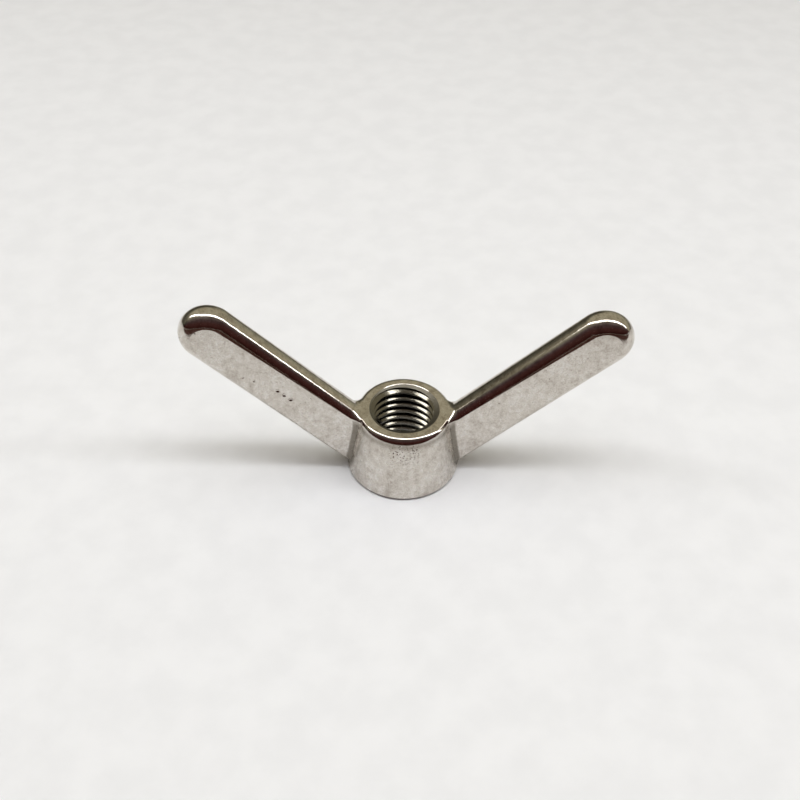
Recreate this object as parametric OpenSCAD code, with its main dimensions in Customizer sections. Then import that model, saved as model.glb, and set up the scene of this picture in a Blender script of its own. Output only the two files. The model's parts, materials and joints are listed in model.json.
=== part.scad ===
// Long-wing nut, M20 coarse thread, one stainless casting, shown as its hub and its two wings.
// Origin: centre of the seating face. +Z is the thread axis, up out of the seating face.
// +X runs from the left wing to the right wing. All sizes are millimetres.

/* [Thread] */
// Minor diameter of the internal thread, which is the bore across its crests
minor_d = 17.294; // [16.5:0.001:17.8]
// Diameter of the countersink at each end of the bore
countersink_d = 20.6; // [19:0.1:22]
// Angle across the countersink's cone
countersink_angle = 120; // [90:5:130]

/* [Hub] */
// Height of the hub from its seating face to its top face
hub_h = 21.4; // [18:0.1:26]
// Diameter of the hub across its seating face
base_d = 33; // [30:0.1:38]
// Diameter of the hub where its side meets the rounded rim
top_d = 27.4; // [25.8:0.1:29]
// Radius of the rounded top rim
rim_r = 2.2; // [1:0.1:2.6]
// Bevel around the seating face
base_bevel = 0.5; // [0.2:0.1:1]

/* [Wings] */
// Angle that each wing rises above the seating face
wing_angle = 43.9; // [35:0.1:50]
// Length of each wing along its own slope, from the thread axis to its tip
wing_l = 82.4; // [60:0.1:100]
// Width of each wing, which ends in a half circle of this diameter
wing_w = 16.6; // [14:0.1:20]
// Thickness of each wing where it leaves the hub
root_t = 7.7; // [5:0.1:8.4]
// Thickness of each wing at its tip
tip_t = 9.1; // [8.5:0.1:9.1]
// Radius of the rounded long edges and tip, which the flat faces cut off
edge_r = 4.6; // [4.6:0.1:6]
// Depth below the seating face at which the wings' centre lines cross the thread axis
wing_drop = 2.8; // [0:0.1:4]

/* [Punch marks] */
// Number of punch marks in the row on the left wing's front face
mark_count = 3; // [1:1:5]
// Diameter of each punch mark at the surface
mark_d = 1.3; // [0.8:0.1:2]
// Depth of each punch mark
mark_depth = 0.3; // [0.1:0.05:0.5]
// Spacing of the punch marks along the wing
mark_step = 2.4; // [2:0.1:4]
// Distance of the middle of the row from the thread axis, along the wing
mark_reach = 46.8; // [35:0.1:60]

/* [Hidden] */
$fn = 96;

// Overshoot that keeps cut faces from lying on each other
eps = 0.01;

minor_r = minor_d / 2;
countersink_r = countersink_d / 2;
countersink_h = (countersink_r - minor_r) / tan(countersink_angle / 2);

// The rim's arc starts where the hub's side ends, and its centre is at this radius and height
base_r = base_d / 2;
top_r = top_d / 2;
rim_x = top_r - rim_r;
rim_z = hub_h - rim_r;

// Distances of the rounded edges' centres from the wing's centre line and from the thread axis
core_half_w = wing_w / 2 - edge_r;
tip_s = wing_l - wing_w / 2;

// The wing's flat faces draw apart at a steady rate from the thread axis to beyond the tip
leave_s = base_r / cos(wing_angle);
taper = (tip_t - root_t) / (wing_l - leave_s);
axis_t = root_t - taper * leave_s;
far_s = wing_l + edge_r;

// The wing is drawn from here on, inside the hub, and is then cut to the hub's side
root_s = base_r / 2;

// Distance of each flat face from the wing's middle plane, s along the wing from the thread axis
function face_y(s) = (axis_t + taper * s) / 2;

// Sphere that leaves a punch mark of the stated diameter and depth
mark_ball_r = (mark_d * mark_d / 4 + mark_depth * mark_depth) / (2 * mark_depth);

// Half of the hub's outer section, right of the thread axis
module hub_section() {
    polygon([
        [0, 0],
        [base_r - base_bevel, 0],
        [base_r, base_bevel],
        [top_r, rim_z],
        [rim_x, rim_z],
        [rim_x, hub_h],
        [0, hub_h]
    ]);
    translate([rim_x, rim_z])
        circle(r = rim_r);
}

// The hub as a solid, before it is bored
module hub_blank() {
    rotate_extrude()
        hub_section();
}

// Countersink at one end of the bore, opening downwards at z = 0
module countersink() {
    translate([0, 0, -eps])
        cylinder(r1 = countersink_r + eps * tan(countersink_angle / 2), r2 = minor_r, h = countersink_h + eps);
}

module hub() {
    color("darkgray")
        difference() {
            hub_blank();
            translate([0, 0, -eps])
                cylinder(r = minor_r, h = hub_h + 2 * eps);
            countersink();
            translate([0, 0, hub_h])
                mirror([0, 0, 1])
                    countersink();
        }
}

// Turns a wing drawn flat along +X, its width along Z, to its slope on the right of the hub
module to_slope() {
    translate([0, 0, -wing_drop])
        rotate([0, -wing_angle, 0])
            children();
}

// The wing's fully rounded section across its length, before its faces are cut flat
module round_section() {
    square([2 * core_half_w, 2 * edge_r], center = true);
    for (side = [-1, 1])
        translate([side * core_half_w, 0])
            circle(r = edge_r);
}

// Half of that section, spun through half a turn to make the tip
module half_section() {
    intersection() {
        round_section();
        translate([0, -wing_w])
            square([wing_w, 2 * wing_w]);
    }
}

// The fully rounded bar that the wing is cut from, from inside the hub to its tip, along +X
module round_bar() {
    translate([root_s, 0, 0])
        rotate([0, 90, 0])
            linear_extrude(tip_s - root_s)
                round_section();
    translate([tip_s, 0, 0])
        rotate([-90, 0, 0])
            rotate([0, 0, -90])
                rotate_extrude(angle = 180)
                    half_section();
}

// Everything beyond one flat face of the wing, on its rear (1) or front (-1) side
module beyond_face(side) {
    translate([0, 0, -wing_w])
        linear_extrude(2 * wing_w)
            polygon([
                [0, side * face_y(0)],
                [far_s, side * face_y(far_s)],
                [far_s, side * wing_w],
                [0, side * wing_w]
            ]);
}

// The wing lying along +X: the round bar with its two faces cut flat
module blade() {
    difference() {
        round_bar();
        beyond_face(1);
        beyond_face(-1);
    }
}

// The right wing, cut to the hub's side and seating plane so that it meets the hub face to face
module wing() {
    difference() {
        to_slope()
            blade();
        hub_blank();
        translate([-wing_l, -wing_w, -wing_w])
            cube([2 * wing_l, 2 * wing_w, wing_w]);
    }
}

// Row of punch marks on the front face of the right wing
module punch_marks() {
    to_slope()
        for (i = [0 : mark_count - 1])
            let (s = mark_reach + (i - (mark_count - 1) / 2) * mark_step)
                translate([s, -face_y(s) - mark_ball_r + mark_depth, 0])
                    sphere(r = mark_ball_r);
}

module right_wing() {
    color("silver")
        wing();
}

module left_wing() {
    color("silver")
        mirror([1, 0, 0])
            difference() {
                wing();
                punch_marks();
            }
}

hub();
left_wing();
right_wing();
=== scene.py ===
import json
import math
from collections import namedtuple

import bmesh
import bpy
import numpy as np
from mathutils import Matrix, Vector
from mathutils.geometry import delaunay_2d_cdt


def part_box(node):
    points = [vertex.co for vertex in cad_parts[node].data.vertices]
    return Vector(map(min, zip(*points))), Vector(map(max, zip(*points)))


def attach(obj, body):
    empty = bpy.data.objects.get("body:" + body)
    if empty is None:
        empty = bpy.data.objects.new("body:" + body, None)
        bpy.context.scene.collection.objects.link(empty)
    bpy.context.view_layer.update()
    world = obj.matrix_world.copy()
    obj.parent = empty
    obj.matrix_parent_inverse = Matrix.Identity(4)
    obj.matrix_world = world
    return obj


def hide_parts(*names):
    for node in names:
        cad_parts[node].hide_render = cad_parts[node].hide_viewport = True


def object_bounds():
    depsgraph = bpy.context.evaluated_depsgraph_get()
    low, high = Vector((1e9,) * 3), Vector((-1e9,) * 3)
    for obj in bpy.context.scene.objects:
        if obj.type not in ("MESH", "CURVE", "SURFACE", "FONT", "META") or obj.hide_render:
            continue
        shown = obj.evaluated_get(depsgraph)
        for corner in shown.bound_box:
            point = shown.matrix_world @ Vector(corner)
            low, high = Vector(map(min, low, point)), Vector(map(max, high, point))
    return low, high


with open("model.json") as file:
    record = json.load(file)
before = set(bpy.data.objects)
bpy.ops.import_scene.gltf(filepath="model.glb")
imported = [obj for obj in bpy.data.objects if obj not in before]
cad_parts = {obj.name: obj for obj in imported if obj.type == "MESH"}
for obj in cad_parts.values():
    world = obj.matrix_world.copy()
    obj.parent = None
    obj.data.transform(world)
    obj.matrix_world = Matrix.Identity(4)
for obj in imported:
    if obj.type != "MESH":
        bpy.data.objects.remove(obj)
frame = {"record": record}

# Lengths are worked out in millimetres, in the frame's axes, and turned into metres as each mesh is made.
MM = 0.001

cad_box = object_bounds()
hub_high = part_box("hub")[1]
thread_mount = next(m for m in frame["record"]["mounts"] if m["name"] == "thread")

# Hub
BASE_R = hub_high.y / MM
HUB_H = hub_high.z / MM
TOP_R = 13.7
RIM_R = 2.2
BEVEL_R = 1.0
SINK_R = 10.3
SINK_SLOPE = math.radians(30)
SINK_EDGE_R = 0.6

# Thread, M20 x 2.5, right hand
MINOR_R = thread_mount["dims"]["r_mm"]
PITCH = 2.5
CREST_FLAT = PITCH / 4
ROOT_FLAT = PITCH / 8
FLANK_RISE = (PITCH - CREST_FLAT - ROOT_FLAT) / 2
FLANK_SLOPE = math.tan(math.radians(60))
MAJOR_R = MINOR_R + FLANK_RISE * FLANK_SLOPE
CREST_Z = 18.95          # height of one crest's middle, straight behind the axis
WALL_R = 10.08           # all that is nearer the axis than this is the bore's wall

# Wings
ANGLE = math.radians(43.9)
WING_W = 16.6
WING_L = (cad_box[1].x / MM - WING_W / 2) / math.cos(ANGLE) + WING_W / 2
ROOT_T = 7.7
TIP_T = 9.1
EDGE_R = 4.6
CREASE_R = 0.3
DROP = 2.8

# Fillets where a wing runs into the hub: on top, on the middle of the two faces, and underneath
FILLET_TOP = 3.2
FILLET_FACE = 1.9
FILLET_UNDER = 2.2
MIDDLE_SHARE = 0.3       # how much of the wing's width counts as the middle

# Punch marks on the left wing's front face
MARKS = 3
MARK_R = 0.65
MARK_DEPTH = 0.3
MARK_STEP = 2.4
MARK_REACH = 46.8

# The painted shade under the rim, a band that stands in for the dark reflection there: its strength, how
# far down it fades out, and how far up
UNDER_RIM_SHADE = 0.7
UNDER_RIM_SHADE_DEPTH = 2.0
UNDER_RIM_SHADE_RISE = 1.0

# The painted shade in the fillets, standing in for the shade and dark reflections there: its strength, and
# the start and length of its fade in half widths of the wing
FILLET_PAINTED_SHADE = 1.7
PAINTED_SHADE_TOP = 0.55
PAINTED_SHADE_FADE = 0.3

# The spot under the rim where most pits are, and how far they reach from it
PIT_SPOT = (0.0, -TOP_R, HUB_H - 4.0)
PIT_REACH = 7.5

# Fineness of the meshes
COLUMNS = 256            # round the hub
FACE_STEPS = 16          # across a wing's flat face
EDGE_STEPS = 32          # round a wing's edge
CREASE_STEPS = 4         # round the crease between a wing's face and its edge
LONG_STEPS = 40          # along a wing
TIP_STEPS = 72           # round a wing's tip
FILLET_STEPS = 12        # from a wing to the hub
MARK_STEPS = 32          # round a punch mark
HOLLOW_STEPS = 6         # from a punch mark's rim to its middle
FLANK_STEPS = 6          # across a thread's flank
SAME = 1e-9              # lengths and angles this close count as equal

# Where the centres of the wing's rounded edges and of its tip are, off its middle line and along it
CORE_HALF_W = WING_W / 2 - EDGE_R
TIP_S = WING_L - WING_W / 2

# Where the wing leaves the hub, how fast its thickness grows along it, and its thickness at the hub's axis
LEAVE_S = BASE_R / math.cos(ANGLE)
TAPER = (TIP_T - ROOT_T) / (WING_L - LEAVE_S)
AXIS_T = ROOT_T - TAPER * LEAVE_S


# ---------------------------------------------------------------- meshes

def unit(v):
    """These vectors at length 1."""
    return v / np.linalg.norm(v, axis=-1, keepdims=True)


class Surface:
    """Faces with an exact normal at every corner, gathered patch by patch and joined into one mesh."""

    # Corners in one cell of this grid become one vertex. The shift keeps round numbers off cell edges.
    CELL = 2e-4
    SHIFT = 0.0000317

    def __init__(self):
        self.points = []
        self.normals = []
        self.painted_shade = []
        self.faces = []

    def add(self, points, normals, faces, painted_shade=None):
        """Adds a patch. Each face is turned to agree with its corner normals."""
        points = np.asarray(points, float).reshape(-1, 3)
        normals = np.asarray(normals, float).reshape(-1, 3)
        # Each point may carry a painted shade value, which darkens the colour there; 0 where there is
        # none.
        self.painted_shade.append(np.zeros(len(points)) if painted_shade is None else np.asarray(painted_shade, float).ravel())
        base = sum(len(p) for p in self.points)
        self.points.append(points)
        self.normals.append(normals)
        for face in faces:
            face = list(face)
            corners = points[face]
            across = np.zeros(3)
            for i in range(1, len(face) - 1):
                across += np.cross(corners[i] - corners[0], corners[i + 1] - corners[0])
            if across @ normals[face].sum(axis=0) < 0:
                face.reverse()
            self.faces.append([base + i for i in face])

    def grid(self, points, normals, painted_shade=None):
        """Adds a patch whose points are in rows and columns."""
        rows, cols = points.shape[:2]
        faces = []
        for r in range(rows - 1):
            for c in range(cols - 1):
                a = r * cols + c
                faces.append((a, a + 1, a + cols + 1, a + cols))
        self.add(points, normals, faces, painted_shade)

    def mirrored(self):
        """The same surface on the other side of the axis."""
        other = Surface()
        flip = np.array([-1.0, 1.0, 1.0])
        other.points = [p * flip for p in self.points]
        other.normals = [n * flip for n in self.normals]
        other.painted_shade = list(self.painted_shade)
        other.faces = [list(reversed(f)) for f in self.faces]
        return other

    def extend(self, other):
        """Adds all of another surface."""
        base = sum(len(p) for p in self.points)
        self.points += other.points
        self.normals += other.normals
        self.painted_shade += other.painted_shade
        self.faces += [[base + i for i in f] for f in other.faces]

    def piece(self, name, *nodes):
        """Makes the mesh object, closed along the patches' shared edges, in place of these CAD nodes."""
        points = np.concatenate(self.points)
        normals = unit(np.concatenate(self.normals))
        keys = np.floor((points + self.SHIFT) / self.CELL).astype(np.int64)
        _, first, where = np.unique(keys, axis=0, return_index=True, return_inverse=True)
        where = where.ravel()
        faces = []
        corner_normals = []
        for face in self.faces:
            ids = [int(where[i]) for i in face]
            keep = [k for k in range(len(ids)) if ids[k] != ids[k - 1]]
            if len({ids[k] for k in keep}) < 3:
                continue
            faces.append([ids[k] for k in keep])
            corner_normals += [normals[face[k]] for k in keep]
        mesh = bpy.data.meshes.new(name)
        mesh.from_pydata(points[first] * MM, [], faces)
        mesh.polygons.foreach_set("use_smooth", [True] * len(mesh.polygons))
        mesh.normals_split_custom_set(corner_normals)
        # Each point's painted shade, the darkening in the fillets and under the rim, is kept in a point
        # attribute.
        painted_shade = np.zeros(len(first))
        np.maximum.at(painted_shade, where, np.concatenate(self.painted_shade))
        layer = mesh.attributes.new("painted_shade", "FLOAT", "POINT")
        layer.data.foreach_set("value", painted_shade.astype(np.float32))
        obj = bpy.data.objects.new(name, mesh)
        bpy.context.scene.collection.objects.link(obj)
        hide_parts(*nodes)
        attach(obj, "root")
        return obj


def inside(points, loop):
    """True for each point that lies inside the closed 2-D loop."""
    x, y = points[:, 0], points[:, 1]
    found = np.zeros(len(points), bool)
    for (x0, y0), (x1, y1) in zip(loop, np.roll(loop, -1, axis=0)):
        if y0 == y1:
            continue
        spans = (y0 > y) != (y1 > y)
        found ^= spans & (x < (x1 - x0) * (y - y0) / (y1 - y0) + x0)
    return found


def distance_to(points, loop):
    """Distance of each point from the closed 2-D loop."""
    best = np.full(len(points), np.inf)
    for a, b in zip(loop, np.roll(loop, -1, axis=0)):
        along = b - a
        t = np.clip(((points - a) @ along) / max(along @ along, SAME), 0, 1)
        best = np.minimum(best, np.linalg.norm(points - a - t[:, None] * along, axis=1))
    return best


def grid_border(rows, cols):
    """Indices of a grid's points once round its border."""
    border = [r * cols for r in range(rows)]
    border += [(rows - 1) * cols + c for c in range(1, cols)]
    border += [r * cols + cols - 1 for r in range(rows - 2, -1, -1)]
    border += list(range(cols - 2, 0, -1))
    return border


def triangles_between(flat, loops):
    """Triangles over these 2-D points that keep every edge of the loops, which are lists of indices."""
    edges = [(a, b) for loop in loops for a, b in zip(loop, loop[1:] + loop[:1])]
    whole_hull, nearness, with_ids = 0, 1e-7, True
    made = delaunay_2d_cdt([Vector(p) for p in flat], edges, [], whole_hull, nearness, with_ids)
    faces, origins = made[2], made[3]
    source = [ids[0] for ids in origins]
    return [tuple(source[i] for i in face) for face in faces]


# ---------------------------------------------------------------- the hub's outside

class Profile:
    """The hub's outer section as lines and arcs in radius and height, each tangent to the next."""

    def __init__(self):
        rim = np.array([TOP_R - RIM_R, HUB_H - RIM_R])
        bevel = np.array([BASE_R - BEVEL_R, BEVEL_R])
        # The side is the straight line tangent to the bevel's arc and to the rim's arc
        span = rim - bevel
        lean = math.atan2(span[1], span[0])
        side = lean - math.acos((BEVEL_R - RIM_R) / np.linalg.norm(span))
        self.rim, self.bevel, self.side = rim, bevel, side
        self.side_n = np.array([math.cos(side), math.sin(side)])
        self.side_low = bevel + BEVEL_R * self.side_n
        self.side_high = rim + RIM_R * self.side_n
        self.side_len = np.linalg.norm(self.side_high - self.side_low)
        # The sink's edge is a small arc between the end face and the countersink's cone
        run = SINK_EDGE_R * math.tan(SINK_SLOPE / 2)
        self.edge_r = SINK_R + run
        self.end_r = SINK_R - run * math.cos(SINK_SLOPE)
        self.end_z = run * math.sin(SINK_SLOPE)
        self.runs = self.lay_out()

    def lay_out(self):
        """Rows of length so far, radius, height and normal, from one countersink round to the other."""
        rows = []

        def put(r, z, angle):
            length = 0.0
            if rows:
                length = rows[-1][0] + math.hypot(r - rows[-1][1], z - rows[-1][2])
                if length - rows[-1][0] < SAME:
                    return
            rows.append((length, r, z, math.cos(angle), math.sin(angle)))

        def arc(centre, radius, start, end, steps):
            for a in np.linspace(start, end, steps + 1):
                put(centre[0] + radius * math.cos(a), centre[1] + radius * math.sin(a), a)

        def line(start, end, angle, steps):
            for t in np.linspace(0, 1, steps + 1):
                put(start[0] + t * (end[0] - start[0]), start[1] + t * (end[1] - start[1]), angle)

        low = (self.edge_r, SINK_EDGE_R)
        high = (self.edge_r, HUB_H - SINK_EDGE_R)
        quarter = math.pi / 2
        arc(low, SINK_EDGE_R, -quarter - SINK_SLOPE, -quarter, steps=4)
        line((self.edge_r, 0), (self.bevel[0], 0), -quarter, steps=5)
        arc(self.bevel, BEVEL_R, -quarter, self.side, steps=6)
        line(self.side_low, self.side_high, self.side, steps=30)
        arc(self.rim, RIM_R, self.side, quarter, steps=16)
        line((self.rim[0], HUB_H), (self.edge_r, HUB_H), quarter, steps=3)
        arc(high, SINK_EDGE_R, quarter, quarter + SINK_SLOPE, steps=4)
        return np.array(rows)

    def nearest(self, r, z):
        """How far the point is off the outside, with the normal and the length so far at its foot."""
        point = np.array([r, z])
        along = (point - self.side_low) @ np.array([-self.side_n[1], self.side_n[0]])
        to_rim = point - self.rim
        if z > HUB_H and r < self.rim[0]:
            gap, n = z - HUB_H, np.array([0.0, 1.0])
        elif math.atan2(to_rim[1], to_rim[0]) > self.side and along > self.side_len:
            gap, n = np.linalg.norm(to_rim) - RIM_R, unit(to_rim)
        elif along > 0:
            gap, n = (point - self.side_low) @ self.side_n, self.side_n
        else:
            to_bevel = point - self.bevel
            gap, n = np.linalg.norm(to_bevel) - BEVEL_R, unit(to_bevel)
        foot = point - gap * n
        # The foot is between rows k and k + 1
        length, at = self.runs[:, 0], self.runs[:, 1:3]
        k = int(np.argmin(np.linalg.norm(at - foot, axis=1)))
        k = min(max(k, 1), len(at) - 2)
        if (foot - at[k]) @ (at[k + 1] - at[k]) < 0:
            k -= 1
        ahead = at[k + 1] - at[k]
        t = ((foot - at[k]) @ ahead) / (ahead @ ahead)
        return gap, n, length[k] + t * (length[k + 1] - length[k])


profile = Profile()


# ---------------------------------------------------------------- a wing, on the right

ALONG = np.array([math.cos(ANGLE), 0.0, math.sin(ANGLE)])
ACROSS = np.array([-math.sin(ANGLE), 0.0, math.cos(ANGLE)])
BACK = np.array([0.0, 1.0, 0.0])
FOOT = np.array([0.0, 0.0, -DROP])


def placed(s, y, q):
    """The point at s along the wing, y behind its middle and q up across its width."""
    return FOOT + s * ALONG + y * BACK + q * ACROSS


def half_t(s):
    """Half the wing's thickness at s."""
    return (AXIS_T + TAPER * s) / 2


def crease(s):
    """Centre of the small arc between a face and the rounded edge, and the turn where the edge begins."""
    y = half_t(s) - CREASE_R
    out = math.sqrt((EDGE_R - CREASE_R) ** 2 - y * y)
    return out, y, math.atan2(y, out)


def edge_steps(side):
    """The rounded edge as fractions: which arc, and how far through it, from one face to the other."""
    steps = [("crease", -side, 1 - t) for t in np.linspace(0, 1, CREASE_STEPS + 1)]
    steps += [("round", -side, t) for t in np.linspace(0, 1, EDGE_STEPS + 1)[1:-1]]
    steps += [("crease", side, t) for t in np.linspace(0, 1, CREASE_STEPS + 1)]
    return steps


def edge_point(s, step):
    """One step of the rounded edge: how far out of the core and how far back, and its normal's parts."""
    kind, side, t = step
    out, y, turn = crease(s)
    if kind == "round":
        a = side * turn * (1 - 2 * t)
        n_out, n_y = math.cos(a), math.sin(a)
        return EDGE_R * n_out, EDGE_R * n_y, n_out, n_y, 0.0
    a = turn + t * (math.pi / 2 - turn)
    n_out, n_y = math.cos(a), side * math.sin(a)
    lean = -TAPER / 2 * t
    return out + CREASE_R * n_out, side * y + CREASE_R * n_y, n_out, n_y, lean


def section(s, step):
    """One point of the wing's section at s, with its normal. The steps go once round the section."""
    kind = step[0]
    if kind == "face":
        side, t = step[1], step[2]
        reach = CORE_HALF_W + crease(s)[0]
        point = placed(s, side * half_t(s), side * (1 - 2 * t) * reach)
        return point, unit(side * BACK - TAPER / 2 * ALONG)
    upper = step[1]
    out, y, n_out, n_y, lean = edge_point(s, step[2])
    point = placed(s, y, upper * (CORE_HALF_W + out))
    return point, unit(n_out * upper * ACROSS + n_y * BACK + lean * ALONG)


def section_steps():
    """Front face upwards, over the top edge, back face downwards, and under the bottom edge."""
    steps = [("face", -1, t) for t in np.linspace(0, 1, FACE_STEPS + 1)]
    steps += [("edge", 1, step) for step in edge_steps(1)[1:]]
    steps += [("face", 1, t) for t in np.linspace(0, 1, FACE_STEPS + 1)[1:]]
    steps += [("edge", -1, step) for step in edge_steps(-1)[1:]]
    return steps


def eased(t):
    """0 up to 0, 1 from 1 on, and a smooth rise between."""
    t = min(max(t, 0.0), 1.0)
    return t * t * (3 - 2 * t)


def fillet_radius(step):
    """The fillet's radius at this line of the section. It grows towards the top and the underside."""
    q = (section(LEAVE_S, step)[0] - FOOT) @ ACROSS / (WING_W / 2)
    end = FILLET_TOP if q > 0 else FILLET_UNDER
    return FILLET_FACE + (end - FILLET_FACE) * eased((abs(q) - MIDDLE_SHARE) / (1 - MIDDLE_SHARE))


# The ball that rolls round a wing's root to make the fillet: s where it touches the wing, its centre and
# radius, the normals of the wing and the hub, its touch on the hub, and the length along the profile there
Ball = namedtuple("Ball", "s centre radius wing_n hub_n touch length")


def rolled_ball(step):
    """The fillet's ball where it touches this line of the wing's section."""
    radius = fillet_radius(step)

    def gap(s):
        point, n = section(s, step)
        centre = point + radius * n
        return profile.nearest(math.hypot(centre[0], centre[1]), centre[2])[0] - radius

    # Inwards in strides until the ball cuts into the hub, and then the last stride is halved many times
    stride = 0.5
    low = 3 * BASE_R
    while gap(low) > 0:
        low -= stride
    high = low + stride
    for _ in range(40):
        middle = (low + high) / 2
        if gap(middle) > 0:
            high = middle
        else:
            low = middle
    s = (low + high) / 2
    point, n = section(s, step)
    centre = point + radius * n
    r = math.hypot(centre[0], centre[1])
    _, hub_n, length = profile.nearest(r, centre[2])
    hub_n = np.array([hub_n[0] * centre[0] / r, hub_n[0] * centre[1] / r, hub_n[1]])
    return Ball(s, centre, radius, n, hub_n, centre - radius * hub_n, length)


def fillet_rows(balls):
    """Points, normals and painted shade of the fillet, from the hub to the wing, round the whole section.
    """
    points, normals, painted_shade = [], [], []
    for t in np.linspace(0, 1, FILLET_STEPS + 1):
        # Painted shade, strongest across the fillet's middle and fading out towards the wing's top.
        strength = min(1.0, FILLET_PAINTED_SHADE * math.sin(math.pi * t))
        row, row_n, row_g = [], [], []
        for ball in balls:
            q = (ball.centre - ball.radius * ball.wing_n - FOOT) @ ACROSS / (WING_W / 2)
            row_g.append(strength * (1 - eased((q - PAINTED_SHADE_TOP) / PAINTED_SHADE_FADE)))
            turn = math.acos(np.clip(ball.wing_n @ ball.hub_n, -1, 1))
            mixed = math.sin((1 - t) * turn) * ball.hub_n + math.sin(t * turn) * ball.wing_n
            row_n.append(mixed / math.sin(turn))
            row.append(ball.centre - ball.radius * row_n[-1])
        points.append(row)
        normals.append(row_n)
        painted_shade.append(row_g)
    return np.array(points), np.array(normals), np.array(painted_shade)


class Wing:
    """The right wing, with the line along which its fillet meets the hub."""

    def __init__(self):
        self.steps = section_steps()
        self.balls = [rolled_ball(step) for step in self.steps[:-1]]
        self.balls.append(self.balls[0])
        self.root_line = np.array([ball.touch for ball in self.balls[:-1]])
        self.root_normals = np.array([ball.hub_n for ball in self.balls[:-1]])
        self.root_lengths = np.array([ball.length for ball in self.balls[:-1]])
        self.points, self.normals = self.long_rows()

    def long_rows(self):
        """The wing's straight part, as rows from the fillet to where the tip begins."""
        points, normals = [], []
        for t in np.linspace(0, 1, LONG_STEPS + 1):
            starts = [ball.s for ball in self.balls]
            made = [section(s + t * (TIP_S - s), step) for s, step in zip(starts, self.steps)]
            points.append([point for point, _ in made])
            normals.append([n for _, n in made])
        return np.array(points), np.array(normals)

    def add_sides(self, surface, marked):
        """The fillet and the straight part, with or without the punch marks on the front face."""
        surface.grid(*fillet_rows(self.balls))
        if marked:
            surface.grid(self.points[:, FACE_STEPS:], self.normals[:, FACE_STEPS:])
            self.add_marked_face(surface)
        else:
            surface.grid(self.points, self.normals)

    def add_tip(self, surface):
        """The tip, whose rounded edge turns through half a turn round the end of the wing's core."""
        turns = np.linspace(-math.pi / 2, math.pi / 2, TIP_STEPS + 1)
        points, normals, rims = [], [], []
        for turn in turns:
            outwards = math.cos(turn) * ALONG + math.sin(turn) * ACROSS
            # The face's reach depends on s, and s on the reach, so they close in on each other
            reach = CORE_HALF_W
            for _ in range(30):
                out = crease(TIP_S + reach * math.cos(turn))[0]
                reach = CORE_HALF_W + out
            s = TIP_S + reach * math.cos(turn)
            row, row_n = [], []
            for step in edge_steps(1):
                out, y, n_out, n_y, lean = edge_point(s, step)
                row.append(FOOT + TIP_S * ALONG + (CORE_HALF_W + out) * outwards + y * BACK)
                row_n.append(n_out * outwards + n_y * BACK + lean * ALONG)
            points.append(row)
            normals.append(row_n)
            rims.append((s, reach * math.sin(turn)))
        surface.grid(np.array(points), unit(np.array(normals)))
        middle = TIP_STEPS // 2
        for side in (-1, 1):
            rows = []
            for s, q in rims[middle:]:
                spread = np.linspace(-q, q, FACE_STEPS + 1)
                rows.append([placed(s, side * half_t(s), across) for across in spread])
            rows = np.array(rows)
            n = unit(side * BACK - TAPER / 2 * ALONG)
            surface.grid(rows, np.broadcast_to(n, rows.shape))

    def add_marked_face(self, surface):
        """The front face with its row of punch marks, each a shallow hollow cut by a ball."""
        face_n = unit(-BACK - TAPER / 2 * ALONG)
        downhill = unit(np.cross(face_n, ACROSS))
        rows, cols = self.points.shape[0], FACE_STEPS + 1
        grid = self.points[:, :cols].reshape(-1, 3)
        flat = np.stack([(grid - FOOT) @ ALONG, (grid - FOOT) @ ACROSS], axis=1)
        ball_r = (MARK_R ** 2 + MARK_DEPTH ** 2) / (2 * MARK_DEPTH)
        turns = np.linspace(0, 2 * math.pi, MARK_STEPS + 1)[:-1]
        keep = np.ones(len(flat), bool)
        # Points closer than this to a mark's rim would make slivers
        clear = 0.2
        circles = []
        for k in range(MARKS):
            s = MARK_REACH + (k - (MARKS - 1) / 2) * MARK_STEP
            centre = placed(s, -half_t(s), 0.0)
            spokes = [math.cos(a) * downhill + math.sin(a) * ACROSS for a in turns]
            ring = np.array([centre + MARK_R * spoke for spoke in spokes])
            ring_flat = np.stack([(ring - FOOT) @ ALONG, (ring - FOOT) @ ACROSS], axis=1)
            keep &= ~inside(flat, ring_flat) & (distance_to(flat, ring_flat) > clear)
            circles.append((ring, ring_flat))
            self.add_hollow(surface, centre, face_n, downhill, ball_r, turns)
        new_id = np.cumsum(keep) - 1
        border = [int(new_id[i]) for i in grid_border(rows, cols)]
        kept = flat[keep]
        all_points = np.concatenate([grid[keep]] + [c[0] for c in circles])
        all_flat = np.concatenate([kept] + [c[1] for c in circles])
        loops = [border]
        for k in range(MARKS):
            first = len(kept) + k * len(turns)
            loops.append(list(range(first, first + len(turns))))
        triangles = triangles_between(all_flat, loops)
        middles = np.array([all_flat[list(t)].mean(axis=0) for t in triangles])
        good = inside(middles, all_flat[border])
        for loop in loops[1:]:
            good &= ~inside(middles, all_flat[loop])
        triangles = [t for t, g in zip(triangles, good) if g]
        surface.add(all_points, np.broadcast_to(face_n, all_points.shape), triangles)

    @staticmethod
    def add_hollow(surface, centre, face_n, downhill, ball_r, turns):
        """One punch mark, as rings from its rim to its middle."""
        ball = centre + (ball_r - MARK_DEPTH) * face_n
        widest = math.asin(MARK_R / ball_r)
        spokes = [math.cos(b) * downhill + math.sin(b) * ACROSS for b in list(turns) + [turns[0]]]
        rows, row_ns = [], []
        for a in widest * np.linspace(1, 0, HOLLOW_STEPS + 1):
            outs = np.array([math.sin(a) * spoke - math.cos(a) * face_n for spoke in spokes])
            rows.append(ball + ball_r * outs)
            row_ns.append(-outs)
        surface.grid(np.array(rows), np.array(row_ns))


wing = Wing()


# ---------------------------------------------------------------- the hub

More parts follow.
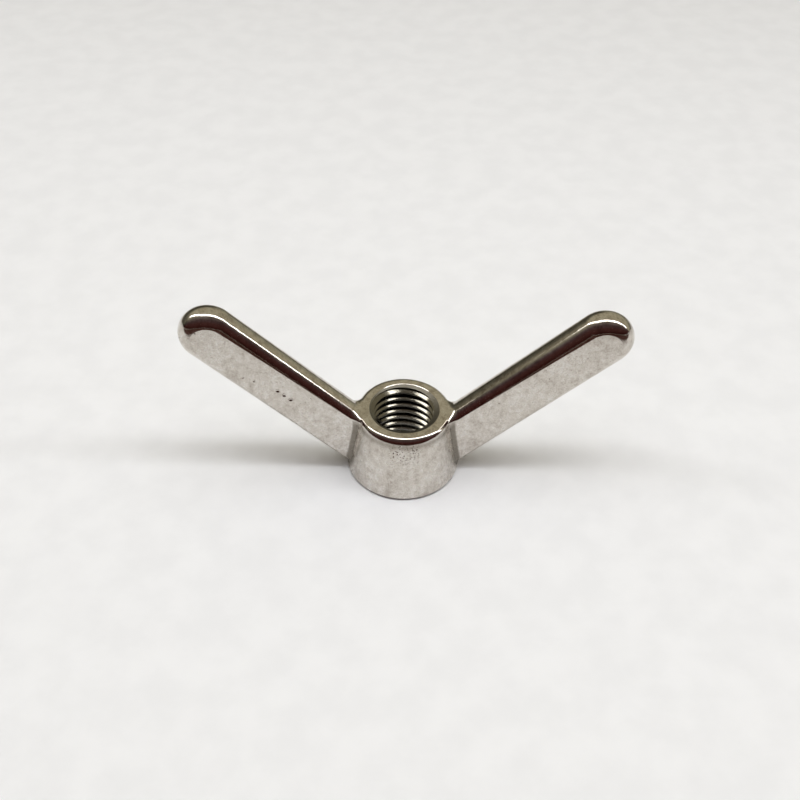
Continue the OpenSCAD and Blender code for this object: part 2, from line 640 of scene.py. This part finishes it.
def hub_half():
    """The right half of the hub's outside, and the part of it that the wing's root covers."""
    angles = np.linspace(-math.pi / 2, math.pi / 2, COLUMNS // 2 + 1)
    lattice_a, lattice_l = np.meshgrid(angles, profile.runs[:, 0], indexing="ij")
    r, z, n_r, n_z = (np.broadcast_to(column, lattice_a.shape) for column in profile.runs[:, 1:].T)
    points = np.stack([r * np.cos(lattice_a), r * np.sin(lattice_a), z], axis=-1).reshape(-1, 3)
    normals = np.stack([n_r * np.cos(lattice_a), n_r * np.sin(lattice_a), n_z], axis=-1).reshape(-1, 3)
    flat = np.stack([lattice_a * TOP_R, lattice_l], axis=-1).reshape(-1, 2)
    line_a = np.arctan2(wing.root_line[:, 1], wing.root_line[:, 0])
    line_flat = np.stack([line_a * TOP_R, wing.root_lengths], axis=-1)
    at_side = np.abs(lattice_a) > math.pi / 2 - SAME
    at_end = (lattice_l < SAME) | (lattice_l > profile.runs[-1, 0] - SAME)
    # Points closer than this to the fillet's line would make slivers
    clear = 0.12
    keep = (distance_to(flat, line_flat) > clear) | (at_side | at_end).reshape(-1)
    points = np.concatenate([points[keep], wing.root_line])
    normals = np.concatenate([normals[keep], wing.root_normals])
    all_flat = np.concatenate([flat[keep], line_flat])
    first = int(keep.sum())
    loop = list(range(first, first + len(line_flat)))
    triangles = triangles_between(all_flat, [loop])
    middles = np.array([all_flat[list(t)].mean(axis=0) for t in triangles])
    covered = inside(middles, line_flat)
    # Painted shade: a band under the rim, darkest just below it, that stands in for the dark reflection
    # there.
    below_rim = profile.rim[1] - points[:, 2]
    painted_shade = np.array([UNDER_RIM_SHADE * (1 - eased(drop / UNDER_RIM_SHADE_DEPTH)) for drop in below_rim])
    painted_shade *= np.clip(below_rim / UNDER_RIM_SHADE_RISE + 1, 0, 1)
    outside = Surface()
    outside.add(points, normals, triangles, painted_shade)
    root = Surface()
    root.add(points, -normals, [t for t, c in zip(triangles, covered) if c])
    return outside, root


def thread_rows():
    """Heights of the rows of one pitch above a crest's middle, and what lies above each row."""
    half_crest, half_root = CREST_FLAT / 2, ROOT_FLAT / 2
    rises = FLANK_RISE * np.linspace(0, 1, FLANK_STEPS + 1)[:-1]
    rows = [(-half_crest, "crest"), (0.0, "crest")]
    rows += [(half_crest + rise, "lower flank") for rise in rises]
    rows.append((PITCH / 2 - half_root, "root"))
    rows += [(PITCH / 2 + half_root + rise, "upper flank") for rise in rises]
    return rows


def thread_radius(above):
    """Radius of the thread at a height above a crest's middle."""
    d = abs((above + PITCH / 2) % PITCH - PITCH / 2)
    return min(MAJOR_R, MINOR_R + max(0.0, d - CREST_FLAT / 2) * FLANK_SLOPE)


def cone_radius(h):
    """Radius of the nearer countersink's cone at height h."""
    depth = min(h - profile.end_z, HUB_H - profile.end_z - h)
    return profile.end_r - depth / math.tan(SINK_SLOPE)


def bore_column(angle, offsets):
    """Heights and radii up the bore's wall at this angle, and how far the thread is cut past the cones."""
    low, high = profile.end_z, HUB_H - profile.end_z
    start = CREST_Z + PITCH * (angle - math.pi / 2) / (2 * math.pi)

    def over(h):
        return thread_radius(h - start) - cone_radius(h)

    z = np.array([min(max(start + up, low), high) for up, _ in offsets])
    gaps = [over(h) for h in z]
    # Where the thread runs out into a cone, the nearer row moves to where the two meet
    for i in range(len(z) - 1):
        if z[i] == z[i + 1] or gaps[i] * gaps[i + 1] >= 0:
            continue
        cut = z[i] + (z[i + 1] - z[i]) * gaps[i] / (gaps[i] - gaps[i + 1])
        near = i if cut - z[i] < z[i + 1] - cut else i + 1
        if low < z[near] < high:
            z[near] = cut
            gaps[near] = 0.0
    r = [max(thread_radius(h - start), cone_radius(h)) for h in z]
    return z, r, [over(h) for h in z]


def bore_normal(kind, what):
    """The wall's normal as its parts outwards, anticlockwise and up."""
    if kind == "low cone":
        return -math.sin(SINK_SLOPE), 0.0, -math.cos(SINK_SLOPE)
    if kind == "high cone":
        return -math.sin(SINK_SLOPE), 0.0, math.cos(SINK_SLOPE)
    if what in ("crest", "root"):
        return -1.0, 0.0, 0.0
    rise = FLANK_SLOPE if what == "lower flank" else -FLANK_SLOPE
    return -1.0, -rise * PITCH / (math.pi * (MINOR_R + MAJOR_R)), rise


def bore():
    """The tapped hole: a helical thread cut across by a countersink at each end."""
    surface = Surface()
    angles = np.linspace(-math.pi / 2, 1.5 * math.pi, COLUMNS + 1)
    # Enough turns to run past both ends of the bore at every angle
    turns = range(-int(CREST_Z / PITCH) - 3, 4)
    offsets = [(k * PITCH + up, what) for k in turns for up, what in thread_rows()]
    columns = [bore_column(angle, offsets) for angle in angles]
    for i in range(len(offsets) - 1):
        cells = {"thread": [], "low cone": [], "high cone": []}
        for c in range(COLUMNS):
            (z_a, _, over_a), (z_b, _, over_b) = columns[c], columns[c + 1]
            heights = [z_a[i], z_a[i + 1], z_b[i], z_b[i + 1]]
            if max(heights) - min(heights) < SAME:
                continue
            if over_a[i] + over_a[i + 1] + over_b[i] + over_b[i + 1] >= -SAME:
                cells["thread"].append(c)
            else:
                cells["low cone" if sum(heights) < 2 * HUB_H else "high cone"].append(c)
        for kind, chosen in cells.items():
            n_r, n_a, n_z = bore_normal(kind, offsets[i][1])
            points, normals, quads = [], [], []
            for c in chosen:
                base = len(points)
                for col in (c, c + 1):
                    z, r, _ = columns[col]
                    x, y = math.cos(angles[col]), math.sin(angles[col])
                    points += [(r[row] * x, r[row] * y, z[row]) for row in (i, i + 1)]
                    normals += [(n_r * x - n_a * y, n_r * y + n_a * x, n_z)] * 2
                quads.append((base, base + 1, base + 3, base + 2))
            surface.add(points, normals, quads)
    return surface


def wing_surface(root, marked):
    """The right wing, closed at its root by the part of the hub's side that it covers."""
    surface = Surface()
    wing.add_sides(surface, marked)
    wing.add_tip(surface)
    surface.extend(root)
    return surface


def make_pieces(material):
    """The three castings."""
    outside, root = hub_half()
    hub = Surface()
    for part in (outside, outside.mirrored(), bore()):
        hub.extend(part)
    pieces = [
        hub.piece("hub_casting", "hub"),
        wing_surface(root, marked=False).piece("right_wing_casting", "right_wing"),
        wing_surface(root, marked=True).mirrored().piece("left_wing_casting", "left_wing"),
    ]
    for piece in pieces:
        piece.data.materials.append(material)


# ---------------------------------------------------------------- materials

def gray(v):
    """A shader colour of equal red, green and blue."""
    return (v, v, v, 1.0)


class Nodes:
    """A short way to add and join shader nodes."""

    def __init__(self, tree):
        self.tree = tree
        self.tree.nodes.clear()

    def add(self, kind, inputs=None, **settings):
        node = self.tree.nodes.new(kind)
        for name, value in settings.items():
            setattr(node, name, value)
        for name, value in (inputs or {}).items():
            if isinstance(value, bpy.types.NodeSocket):
                self.tree.links.new(value, node.inputs[name])
            else:
                node.inputs[name].default_value = value
        return node

    def math(self, operation, a, b=0.0, clamp=False):
        node = self.add("ShaderNodeMath", {0: a, 1: b}, operation=operation, use_clamp=clamp)
        return node.outputs[0]

    def total(self, *terms):
        """Sum of values, each times its weight."""
        parts = [self.math("MULTIPLY", value, weight) for value, weight in terms]
        while len(parts) > 1:
            parts[:2] = [self.math("ADD", parts[0], parts[1])]
        return parts[0]

    def ramp(self, value, stops, smooth=True):
        node = self.add("ShaderNodeValToRGB", {"Fac": value})
        if smooth:
            node.color_ramp.interpolation = "EASE"
        points = node.color_ramp.elements
        while len(points) < len(stops):
            points.new(0.5)
        for point, (at, color) in zip(points, stops):
            point.position = at
            point.color = color
        return node.outputs["Color"]

    def falling(self, value, start, end):
        """1 up to start, and 0 from end on."""
        return self.ramp(value, [(0.0, gray(1)), (start, gray(1)), (end, gray(0))])

    def rising(self, value, start, end):
        """0 up to start, and 1 from end on."""
        return self.ramp(value, [(0.0, gray(0)), (start, gray(0)), (end, gray(1))])

    def noise(self, where, scale, detail, rough):
        """Noise with about scale repeats to the metre."""
        inputs = {"Vector": where, "Scale": scale, "Detail": detail, "Roughness": rough}
        return self.add("ShaderNodeTexNoise", inputs).outputs["Fac"]

    def blend(self, factor, a, b, how="MIX"):
        node = self.add("ShaderNodeMix", {0: factor, 6: a, 7: b}, data_type="RGBA", blend_type=how)
        return node.outputs[2]


def new_material(name):
    """A material with nothing in it yet, and its nodes."""
    material = bpy.data.materials.new(name)
    material.use_nodes = True
    return material, Nodes(material.node_tree)


def bore_masks(n, where):
    """1 on the bore's wall, and 1 on its two countersinks alone."""
    place = n.add("ShaderNodeSeparateXYZ", {0: where})
    flat = n.add("ShaderNodeCombineXYZ", {"X": place.outputs["X"], "Y": place.outputs["Y"]}).outputs[0]
    radius = n.add("ShaderNodeVectorMath", {0: flat}, operation="LENGTH").outputs["Value"]
    off_middle = n.math("ABSOLUTE", n.math("SUBTRACT", place.outputs["Z"], HUB_H * MM / 2))
    # Distances from the hub's mid-height to the countersinks' outer and inner ends
    outer = HUB_H / 2 - profile.end_z
    inner = outer - (profile.end_r - MINOR_R) * math.tan(SINK_SLOPE)
    wall = n.math("MULTIPLY", n.math("LESS_THAN", radius, WALL_R * MM),
                  n.math("LESS_THAN", off_middle, outer * MM))
    return wall, n.math("MULTIPLY", wall, n.math("GREATER_THAN", off_middle, inner * MM))


def pits(n, where):
    """1 in small pits: a few in patches here and there, and most under the rim at the hub's front."""
    scattered = n.math("MULTIPLY", n.falling(n.noise(where, 900.0, 1.0, 0.4), 0.24, 0.30),
                       n.rising(n.noise(where, 75.0, 2.0, 0.5), 0.56, 0.68))
    spot = Vector(PIT_SPOT) * MM
    from_spot = n.add("ShaderNodeVectorMath", {0: where, 1: spot}, operation="DISTANCE").outputs["Value"]
    near = n.math("SUBTRACT", 1.0, n.math("DIVIDE", from_spot, PIT_REACH * MM), clamp=True)
    gathered = n.math("MULTIPLY", n.falling(n.noise(where, 1800.0, 2.0, 0.5), 0.36, 0.43),
                      n.rising(near, 0.25, 0.7))
    return n.math("MAXIMUM", scattered, gathered)


def stainless():
    """Cast stainless steel: satin faces, polished edges, fine mottling, small pits, and painted shade in
    the fillets and in a band under the rim.
    """
    material, n = new_material("stainless")
    where = n.add("ShaderNodeTexCoord").outputs["Object"]
    normal = n.add("ShaderNodeSeparateXYZ", {0: n.add("ShaderNodeTexCoord").outputs["Normal"]})
    # 1 on the flat faces and the hub's side, 0 on the rounded edges, the rim and the ring on top
    satin = n.falling(n.math("ABSOLUTE", normal.outputs["Z"]), 0.155, 0.24)
    wall, sink = bore_masks(n, where)
    pit = n.math("MULTIPLY", pits(n, where), satin)
    stretched = n.add("ShaderNodeMapping", {"Vector": where, "Scale": (1.0, 1.0, 0.28)}).outputs[0]
    mottle = n.noise(where, 480.0, 4.0, 0.65)
    cloud = n.noise(where, 120.0, 3.0, 0.5)
    streak = n.noise(stretched, 520.0, 3.0, 0.6)
    grain = n.noise(where, 2200.0, 2.0, 0.6)
    cloudy = n.math("SUBTRACT", cloud, 0.5)
    tone = n.total((mottle, 0.4), (streak, 0.25), (grain, 0.35), (cloudy, 0.22))
    color = n.ramp(tone, [
        (0.37, (0.44, 0.395, 0.35, 1)),
        (0.50, (0.61, 0.57, 0.515, 1)),
        (0.62, (0.715, 0.685, 0.645, 1)),
    ], smooth=False)
    color = n.blend(pit, color, (0.16, 0.13, 0.11, 1))
    # The bore's wall is coloured darker than the outside.
    color = n.blend(n.math("MULTIPLY", wall, 0.86), color, (0.15, 0.14, 0.11, 1))
    # Painted shade: the values in the mesh attribute darken the fillets and a band under the rim, in place
    # of shade and dark reflections there.
    painted_shade = n.add("ShaderNodeAttribute", attribute_name="painted_shade").outputs["Fac"]
    color = n.blend(n.math("MULTIPLY", painted_shade, 0.8), color, (0.14, 0.12, 0.09, 1))
    rough = n.total((cloud, 0.08), (mottle, 0.07), (satin, 0.16), (sink, 0.36), (pit, 0.3))
    rough = n.math("ADD", rough, 0.03, clamp=True)
    height = n.total((mottle, 0.6), (grain, 0.15), (pit, -1.2))
    bump = n.add("ShaderNodeBump", {"Strength": 0.35, "Distance": 0.00012, "Height": height})
    shader = n.add("ShaderNodeBsdfPrincipled", {
        "Base Color": color,
        "Metallic": 1.0,
        "Roughness": rough,
        "Normal": bump.outputs[0],
    })
    n.add("ShaderNodeOutputMaterial", {"Surface": shader.outputs[0]})
    return material


def paper():
    """White backdrop paper with a faint unevenness."""
    material, n = new_material("paper")
    cloud = n.noise(n.add("ShaderNodeTexCoord").outputs["Object"], 90.0, 5.0, 0.5)
    color = n.ramp(cloud, [(0.3, (0.815, 0.83, 0.86, 1)), (0.7, (0.85, 0.865, 0.895, 1))])
    bump = n.add("ShaderNodeBump", {"Strength": 0.2, "Distance": 0.001, "Height": cloud})
    shader = n.add("ShaderNodeBsdfPrincipled", {
        "Base Color": color,
        "Roughness": 0.9,
        "Specular IOR Level": 0.1,
        "Normal": bump.outputs[0],
    })
    n.add("ShaderNodeOutputMaterial", {"Surface": shader.outputs[0]})
    return material


def dull(name, color):
    """A dull material of one colour."""
    material, n = new_material(name)
    shader = n.add("ShaderNodeBsdfPrincipled", {"Base Color": color, "Roughness": 0.9})
    n.add("ShaderNodeOutputMaterial", {"Surface": shader.outputs[0]})
    return material


def glowing(name, color):
    """A material that gives off an even colour."""
    material, n = new_material(name)
    shader = n.add("ShaderNodeEmission", {"Color": color, "Strength": 1.0})
    n.add("ShaderNodeOutputMaterial", {"Surface": shader.outputs[0]})
    return material


# ---------------------------------------------------------------- stage, light and camera, in metres

FLOOR_REACH = 2.5
FLOOR_Z = -0.00002       # just under the nut, whose seating face is at 0
CARD_Z = 0.0005
BACKDROP_R = 0.9
LAMP_Z = 0.8
LAMP_Y = -0.06
LAMP_WIDTH = 0.12
LAMP_POWER = 20.5        # watts for each square metre
SOFTBOX_Z = 1.1
SOFTBOX_SIZE = 1.0
SOFTBOX_POWER = 4.8


def sheet(name, low, high, z, material):
    """A level rectangle between two corners."""
    mesh = bpy.data.meshes.new(name)
    corners = [(low[0], low[1], 0), (high[0], low[1], 0), (high[0], high[1], 0), (low[0], high[1], 0)]
    mesh.from_pydata(corners, [], [(0, 1, 2, 3)])
    mesh.materials.append(material)
    obj = bpy.data.objects.new(name, mesh)
    obj.location.z = z
    bpy.context.scene.collection.objects.link(obj)
    return obj


def make_floor():
    reach = FLOOR_REACH
    floor = sheet("floor", (-reach, -reach), (reach, reach), FLOOR_Z, paper())


def make_card(name, low, high, color):
    """A dark card lying out of the picture, seen only in the nut's reflections."""
    card = sheet(name, low, high, CARD_Z, dull(name, color))
    card.visible_camera = False
    card.visible_diffuse = False
    card.visible_shadow = False


def make_backdrop():
    """A pale dome round everything, seen only by the camera, so that low views end in a plain backdrop."""
    mesh = bpy.data.meshes.new("backdrop")
    shape = bmesh.new()
    bmesh.ops.create_uvsphere(shape, u_segments=48, v_segments=24, radius=BACKDROP_R)
    shape.to_mesh(mesh)
    shape.free()
    mesh.materials.append(glowing("backdrop", (0.66, 0.655, 0.64, 1)))
    dome = bpy.data.objects.new("backdrop", mesh)
    bpy.context.scene.collection.objects.link(dome)
    dome.visible_diffuse = False
    dome.visible_glossy = False
    dome.visible_transmission = False
    dome.visible_shadow = False


def make_world():
    """A room that is dark in front of the table and a mid olive grey behind it."""
    world = bpy.data.worlds.new("room")
    bpy.context.scene.world = world
    world.use_nodes = True
    n = Nodes(world.node_tree)
    way = n.add("ShaderNodeSeparateXYZ", {0: n.add("ShaderNodeTexCoord").outputs["Generated"]})
    forward = n.math("MULTIPLY", way.outputs["Y"], -1.0)
    # 0 at the horizon in front, 0.5 overhead, 1 at the horizon behind
    round_up = n.math("DIVIDE", n.math("ARCTAN2", way.outputs["Z"], forward), math.pi)
    color = n.ramp(round_up, [
        (0.00, (0.035, 0.009, 0.007, 1)),
        (0.15, (0.062, 0.024, 0.021, 1)),
        (0.28, (0.070, 0.042, 0.042, 1)),
        (0.38, (0.150, 0.120, 0.110, 1)),
        (0.46, (0.250, 0.230, 0.180, 1)),
        (0.55, (0.420, 0.385, 0.280, 1)),
        (0.80, (0.420, 0.385, 0.280, 1)),
        (1.00, (0.300, 0.290, 0.220, 1)),
    ])
    # Behind and to the left, the wall is darker than the ceiling
    shade = n.ramp(way.outputs["Z"], [(0.0, gray(0.22)), (0.28, gray(0.30)), (0.55, gray(1))])
    sharpness = 4.0
    rightward = n.math("MULTIPLY", way.outputs["X"], sharpness, clamp=True)
    elsewhere = n.math("MAXIMUM", rightward, n.math("MULTIPLY", forward, sharpness, clamp=True))
    color = n.blend(elsewhere, n.blend(1.0, color, shade, "MULTIPLY"), color)
    back = n.add("ShaderNodeBackground", {"Color": color, "Strength": 1.0})
    n.add("ShaderNodeOutputWorld", {"Surface": back.outputs[0]})


def make_lamp(name, centre, length, width, power, turn=0.0):
    """A rectangular lamp that shines straight down, its length along X unless it is turned."""
    data = bpy.data.lights.new(name, "AREA")
    data.shape = "RECTANGLE"
    data.size = length
    data.size_y = width
    data.energy = power
    lamp = bpy.data.objects.new(name, data)
    lamp.location = centre
    lamp.rotation_euler = (0, 0, turn)
    bpy.context.scene.collection.objects.link(lamp)
    return lamp


def make_lights():
    """Two long narrow lamps, the left one slanting to the back, and a softbox hidden from reflections."""
    start, end = Vector((-0.25, LAMP_Y, LAMP_Z)), Vector((3.0, LAMP_Y, LAMP_Z))
    far_left = start + Vector((-1.05, 0.36, 0.0))
    for name, a, b in (("tube_right", start, end), ("tube_left", start, far_left)):
        length = (b - a).length
        turn = math.atan2(b.y - a.y, b.x - a.x)
        make_lamp(name, (a + b) / 2, length, LAMP_WIDTH, LAMP_POWER * length * LAMP_WIDTH, turn)
    size = SOFTBOX_SIZE
    softbox = make_lamp("softbox", (0, LAMP_Y, SOFTBOX_Z), size, size, SOFTBOX_POWER)
    softbox.visible_glossy = False


def make_camera(target, distance, elevation, heading, roll, lens):
    """A camera that looks at target from in front and above, turned to the right by heading."""
    data = bpy.data.cameras.new("camera")
    data.lens = lens
    data.clip_start = 0.01
    data.clip_end = 20.0
    camera = bpy.data.objects.new("camera", data)
    e, h, tilt = math.radians(elevation), math.radians(heading), math.radians(roll)
    ahead = Vector((math.sin(h) * math.cos(e), math.cos(h) * math.cos(e), -math.sin(e)))
    right = Vector((math.cos(h), -math.sin(h), 0.0))
    up = right.cross(ahead)
    turned_right = right * math.cos(tilt) + up * math.sin(tilt)
    turned_up = up * math.cos(tilt) - right * math.sin(tilt)
    turn = Matrix((turned_right, turned_up, -ahead)).transposed()
    camera.matrix_world = Matrix.Translation(target - ahead * distance) @ turn.to_4x4()
    bpy.context.scene.collection.objects.link(camera)
    bpy.context.scene.camera = camera


make_camera(
    target=Vector((-1.2, 4.7, 20.0)) * MM,
    distance=0.320,
    elevation=43.44,
    heading=1.37,
    roll=1.65,
    lens=49.45,
)
make_pieces(stainless())
make_floor()
make_backdrop()
make_world()
make_lights()
# The front card is painted shade: a dark sheet where the floor in front lies in shade, seen only in
# reflections.
make_card("front_card", (-1.0, -1.2), (1.0, -0.085), (0.06, 0.02, 0.015, 1))
make_card("back_card", (-1.0, 0.20), (1.0, 1.2), (0.16, 0.15, 0.10, 1))
bpy.context.scene.view_settings.view_transform = "Standard"
